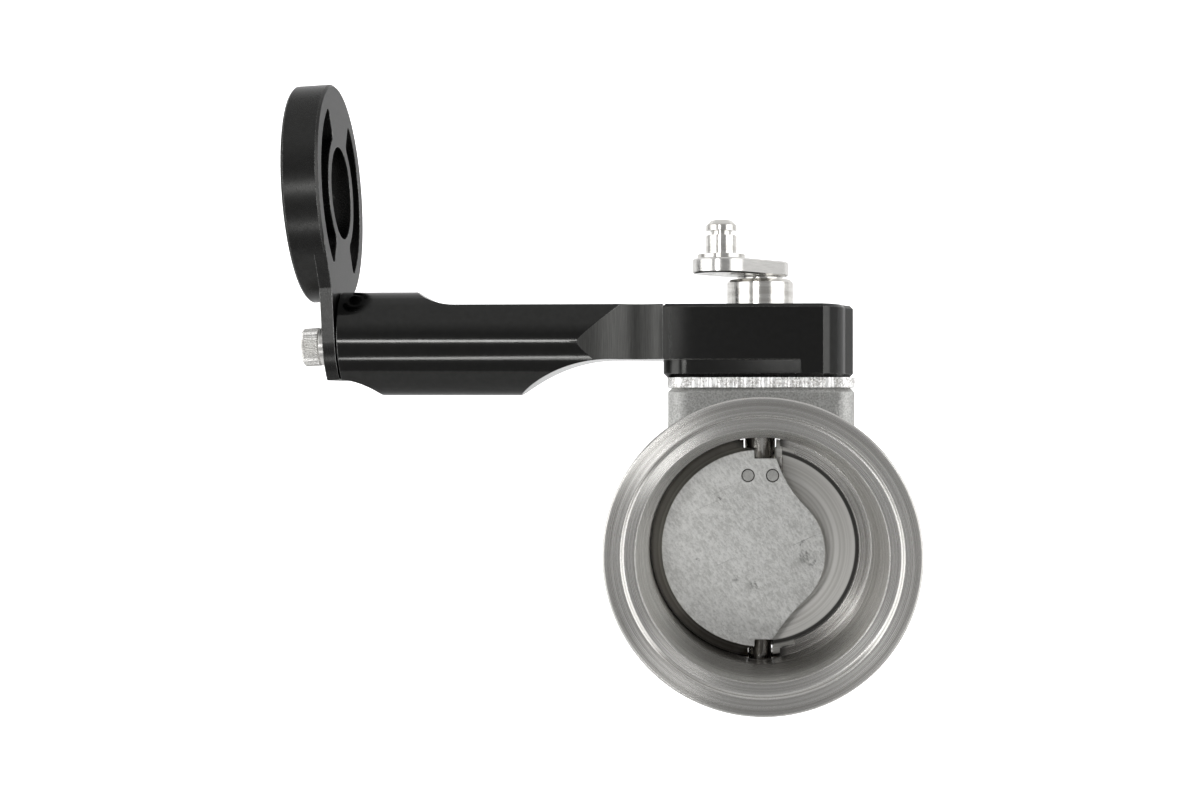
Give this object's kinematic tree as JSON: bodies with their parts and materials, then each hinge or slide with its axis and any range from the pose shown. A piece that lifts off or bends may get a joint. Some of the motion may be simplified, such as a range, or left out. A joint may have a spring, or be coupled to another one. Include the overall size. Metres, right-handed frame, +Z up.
{
  "type": "turbo wastegate",
  "caption": "Straight-through swing-disc wastegate valve with V-band flanged body, crank lever, and a cantilevered bracket with a ring for an actuator.",
  "frame": {"origin": "centre of the inlet flange, on the plane of its face", "axes": "+Y along the gas flow from inlet to outlet, +Z up along the valve shaft towards the crank lever, -X along the arm that holds the actuator ring"},
  "size_m": [0.1609, 0.0717, 0.1614],
  "materials": {
    "cast_stainless": "cast and bead blasted, flange faces turned",
    "cast_disc": "investment cast, lightly mottled",
    "shaft_steel": "ground, heat darkened",
    "turned_steel": "turned, bright",
    "stainless_screw": "bright stainless fasteners",
    "bush_bronze": "plain bearing bronze",
    "graphite_seal": "pressed graphite",
    "gasket_foil": "embossed foil",
    "black_anodised": "satin black anodised"
  },
  "bodies": {
    "housing": {"valve_body": "cast_stainless", "upper_bush": "bush_bronze", "lower_bush": "bush_bronze", "lower_plug": "turned_steel", "heat_gasket": "gasket_foil", "actuator_bracket": "black_anodised", "bracket_bolts": "stainless_screw", "bolt_washers": "stainless_screw", "bracket_dowels": "stainless_screw", "bearing_sleeve": "turned_steel", "shaft_seal": "graphite_seal", "thrust_washer": "turned_steel", "actuator_ring": "black_anodised", "tab_washer": "stainless_screw", "ring_bolt": "stainless_screw"},
    "valve": {"drive_shaft": "shaft_steel", "lower_pivot": "shaft_steel", "valve_disc": "cast_disc", "disc_rivets": "turned_steel", "crank_lever": "turned_steel", "crank_pin": "turned_steel"}
  },
  "joints": [
    {"name": "valve_swing", "type": "hinge", "parent": "housing", "child": "valve", "pos_m": [0, 0.035, 0], "axis": [0, 0, 1], "range_deg": [0, 78]}
  ]
}
